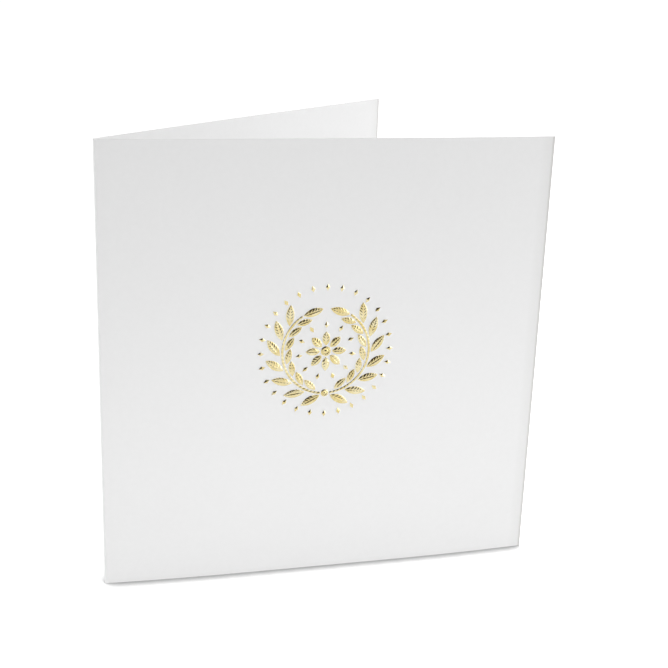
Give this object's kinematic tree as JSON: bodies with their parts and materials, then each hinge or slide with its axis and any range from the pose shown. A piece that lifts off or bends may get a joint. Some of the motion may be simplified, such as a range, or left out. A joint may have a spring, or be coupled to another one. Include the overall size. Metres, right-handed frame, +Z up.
{
  "type": "greeting card",
  "caption": "Square greeting card standing open on its lower edges, with a gold foil wreath and rosette embossed on its cover.",
  "frame": {"origin": "middle of the footprint, on the surface that the card stands on", "axes": "+Z up along the fold; +X from the fold towards the open side, halfway between the panels; the cover leans towards -Y and the back panel towards +Y"},
  "size_m": [0.1412, 0.1008, 0.15],
  "materials": {
    "card_stock": "matte",
    "gold_foil": "polished"
  },
  "bodies": {
    "root": {"folded_card": "card_stock", "foil_emblem": "gold_foil"}
  },
  "joints": []
}
